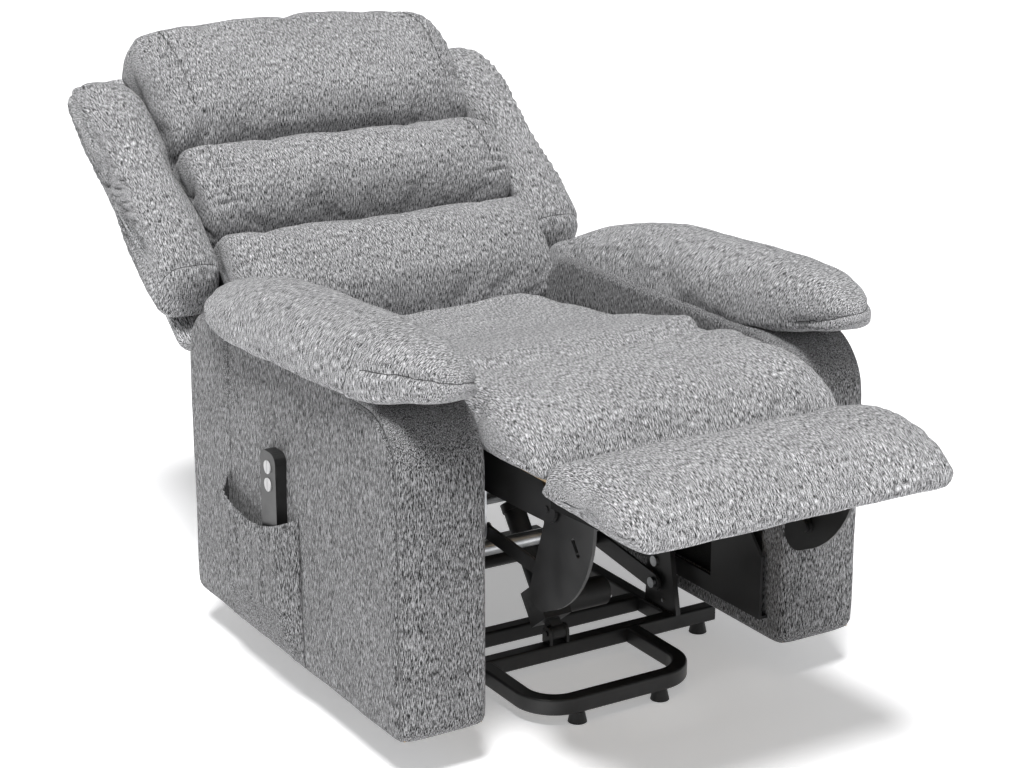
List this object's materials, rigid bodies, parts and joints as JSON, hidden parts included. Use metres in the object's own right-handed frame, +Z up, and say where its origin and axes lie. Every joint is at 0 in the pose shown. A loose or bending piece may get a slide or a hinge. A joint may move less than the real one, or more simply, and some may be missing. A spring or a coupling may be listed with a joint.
{
  "type": "lift recliner chair",
  "caption": "Upholstered lift recliner chair, shown reclined: lift base linkage, swinging seat, winged roll back, folding legrest and side-pocket hand control.",
  "frame": {"origin": "centre of the chair's bounding box on the floor, in the reclined pose", "axes": "+Z up; +Y towards the back of the chair; the chair faces -Y; X across, with the hand control and its pocket on the -X arm"},
  "size_m": [0.876, 1.655, 0.9308],
  "materials": {
    "steel_black": "satin black powder coat",
    "steel_zinc": "zinc plated",
    "timber": "raw plywood and hardwood",
    "cover_fabric": "slubby heather woven cloth",
    "cushion_fabric": "slubby heather woven cloth",
    "lining": "black dust cloth",
    "webbing": "woven elastic webbing",
    "drive_plastic": "moulded drive housings",
    "glide_plastic": "hard plastic glides",
    "handset_plastic": "fine textured",
    "button_plastic": "light grey keys"
  },
  "bodies": {
    "base": {"base_front_loop": "steel_black", "base_cross_front": "steel_black", "base_cross_rear": "steel_black", "base_side_rails": "steel_black", "tower_left": "steel_black", "tower_right": "steel_black", "base_glides": "glide_plastic", "tower_bolts": "steel_zinc", "lift_motor_bracket": "steel_black"},
    "lift_arms": {"lift_arm_left": "steel_black", "lift_arm_right": "steel_black", "lift_torsion_tube": "steel_black"},
    "lift_links": {"lift_links": "steel_black"},
    "lift_motor": {"lift_motor": "drive_plastic"},
    "lift_rod": {"lift_rod": "steel_zinc"},
    "chassis": {"chassis_plate_left": "steel_black", "chassis_plate_right": "steel_black", "chassis_cross_tubes": "steel_zinc", "lift_brackets": "steel_black", "arm_frame_left": "timber", "arm_frame_right": "timber", "arm_cover_left": "cover_fabric", "arm_cover_right": "cover_fabric", "arm_liners": "lining", "arm_pad_left": "cushion_fabric", "arm_pad_right": "cushion_fabric", "handset_pocket": "cover_fabric", "control_box": "drive_plastic", "power_inlet": "drive_plastic"},
    "swing_front": {"swing_links_front": "steel_black"},
    "swing_rear": {"swing_links_rear": "steel_black"},
    "seat": {"seat_plates": "steel_black", "seat_deck": "timber", "seat_webbing": "webbing", "seat_cross_tubes": "steel_black", "seat_cushion": "cushion_fabric", "knee_bolster": "cushion_fabric"},
    "back": {"back_frame": "steel_black", "recline_torque_tube": "steel_zinc", "back_shell": "cover_fabric", "lumbar_cushion": "cushion_fabric", "middle_cushion": "cushion_fabric", "head_cushion": "cushion_fabric", "wing_left": "cover_fabric", "wing_right": "cover_fabric"},
    "recline_motor": {"recline_motor": "drive_plastic"},
    "recline_rod": {"recline_rod": "steel_zinc"},
    "legrest": {"legrest_board": "timber", "legrest_pad": "cushion_fabric", "guard_plate_left": "steel_black", "guard_plate_right": "steel_black"},
    "legrest_drive": {"legrest_torque_tube": "steel_zinc"},
    "push_links": {"push_links": "steel_black"},
    "legrest_motor": {"legrest_motor": "drive_plastic"},
    "legrest_rod": {"legrest_rod": "steel_zinc"},
    "handset": {"handset_body": "handset_plastic"},
    "raise_button": {"raise_button": "button_plastic"},
    "lower_button": {"lower_button": "button_plastic"},
    "legrest_out_button": {"legrest_out_button": "button_plastic"},
    "legrest_in_button": {"legrest_in_button": "button_plastic"}
  },
  "joints": [
    {"name": "lift", "type": "hinge", "parent": "base", "child": "lift_arms", "pos_m": [0, -0.1805, 0.089], "axis": [1, 0, 0], "range_deg": [0, 53.5]},
    {"name": "chassis_tilt", "type": "hinge", "parent": "lift_arms", "child": "chassis", "pos_m": [0, 0.1025, 0.1225], "axis": [1, 0, 0], "range_deg": [-28.7, 0]},
    {"name": "lift_link_swing", "type": "hinge", "parent": "base", "child": "lift_links", "pos_m": [0, -0.1705, 0.121], "axis": [1, 0, 0], "range_deg": [0, 50]},
    {"name": "lift_motor_swing", "type": "hinge", "parent": "base", "child": "lift_motor", "pos_m": [0, -0.2175, 0.062], "axis": [1, 0, 0], "range_deg": [0, 42.6]},
    {"name": "lift_rod_swing", "type": "hinge", "parent": "chassis", "child": "lift_rod", "pos_m": [0, -0.0575, 0.27], "axis": [1, 0, 0], "range_deg": [0, 17.6]},
    {"name": "recline", "type": "hinge", "parent": "seat", "child": "back", "pos_m": [0, 0.2875, 0.43], "axis": [1, 0, 0], "range_deg": [0, 38]},
    {"name": "seat_glide", "type": "hinge", "parent": "chassis", "child": "swing_front", "pos_m": [0, -0.3075, 0.335], "axis": [1, 0, 0], "range_deg": [-45.97, 0]},
    {"name": "seat_level", "type": "hinge", "parent": "swing_front", "child": "seat", "pos_m": [0, -0.3425, 0.41792], "axis": [1, 0, 0], "range_deg": [0, 45.97]},
    {"name": "rear_swing", "type": "hinge", "parent": "chassis", "child": "swing_rear", "pos_m": [0, 0.0625, 0.285], "axis": [1, 0, 0], "range_deg": [-45.97, 0]},
    {"name": "recline_motor_swing", "type": "hinge", "parent": "seat", "child": "recline_motor", "pos_m": [0, 0.0825, 0.4], "axis": [1, 0, 0], "range_deg": [0, 8]},
    {"name": "recline_rod_swing", "type": "hinge", "parent": "back", "child": "recline_rod", "pos_m": [0, 0.2685, 0.322], "axis": [1, 0, 0], "range_deg": [-31, 0]},
    {"name": "legrest_fold", "type": "hinge", "parent": "seat", "child": "legrest", "pos_m": [0, -0.5625, 0.425], "axis": [1, 0, 0], "range_deg": [0, 80]},
    {"name": "legrest_crank", "type": "hinge", "parent": "seat", "child": "legrest_drive", "pos_m": [0, -0.3625, 0.44], "axis": [1, 0, 0], "range_deg": [0, 80.5]},
    {"name": "push_link_swing", "type": "hinge", "parent": "legrest_drive", "child": "push_links", "pos_m": [0, -0.3645, 0.328], "axis": [1, 0, 0], "range_deg": [-80.5, 0]},
    {"name": "legrest_motor_swing", "type": "hinge", "parent": "seat", "child": "legrest_motor", "pos_m": [0, 0.0225, 0.4], "axis": [1, 0, 0], "range_deg": [0, 1.2]},
    {"name": "legrest_rod_swing", "type": "hinge", "parent": "legrest_drive", "child": "legrest_rod", "pos_m": [0, -0.3915, 0.4055], "axis": [1, 0, 0], "range_deg": [-79.5, 0]},
    {"name": "handset_lift", "type": "slide", "parent": "chassis", "child": "handset", "axis": [0, 0, 1], "range_m": [0, 0.13]},
    {"name": "raise_button_press", "type": "slide", "parent": "handset", "child": "raise_button", "axis": [1, 0, 0], "range_m": [0, 0.0015], "stiffness_N_per_m": 600},
    {"name": "lower_button_press", "type": "slide", "parent": "handset", "child": "lower_button", "axis": [1, 0, 0], "range_m": [0, 0.0015], "stiffness_N_per_m": 600},
    {"name": "legrest_out_button_press", "type": "slide", "parent": "handset", "child": "legrest_out_button", "axis": [1, 0, 0], "range_m": [0, 0.0015], "stiffness_N_per_m": 600},
    {"name": "legrest_in_button_press", "type": "slide", "parent": "handset", "child": "legrest_in_button", "axis": [1, 0, 0], "range_m": [0, 0.0015], "stiffness_N_per_m": 600}
  ],
  "couplings": [
    {"joint": "chassis_tilt", "follows": "lift", "ratio": -0.53271},
    {"joint": "lift_link_swing", "follows": "lift", "ratio": 0.92897},
    {"joint": "lift_motor_swing", "follows": "lift", "ratio": 0.79222},
    {"joint": "lift_rod_swing", "follows": "lift", "ratio": 0.32493},
    {"joint": "seat_glide", "follows": "recline", "ratio": -1.2045},
    {"joint": "seat_level", "follows": "recline", "ratio": 1.2045},
    {"joint": "rear_swing", "follows": "recline", "ratio": -1.2045},
    {"joint": "recline_motor_swing", "follows": "recline", "ratio": 0.20214},
    {"joint": "recline_rod_swing", "follows": "recline", "ratio": -0.79785},
    {"joint": "legrest_crank", "follows": "legrest_fold", "ratio": 1},
    {"joint": "push_link_swing", "follows": "legrest_fold", "ratio": -1},
    {"joint": "legrest_motor_swing", "follows": "legrest_fold", "ratio": 0.012737},
    {"joint": "legrest_rod_swing", "follows": "legrest_fold", "ratio": -0.98726}
  ]
}
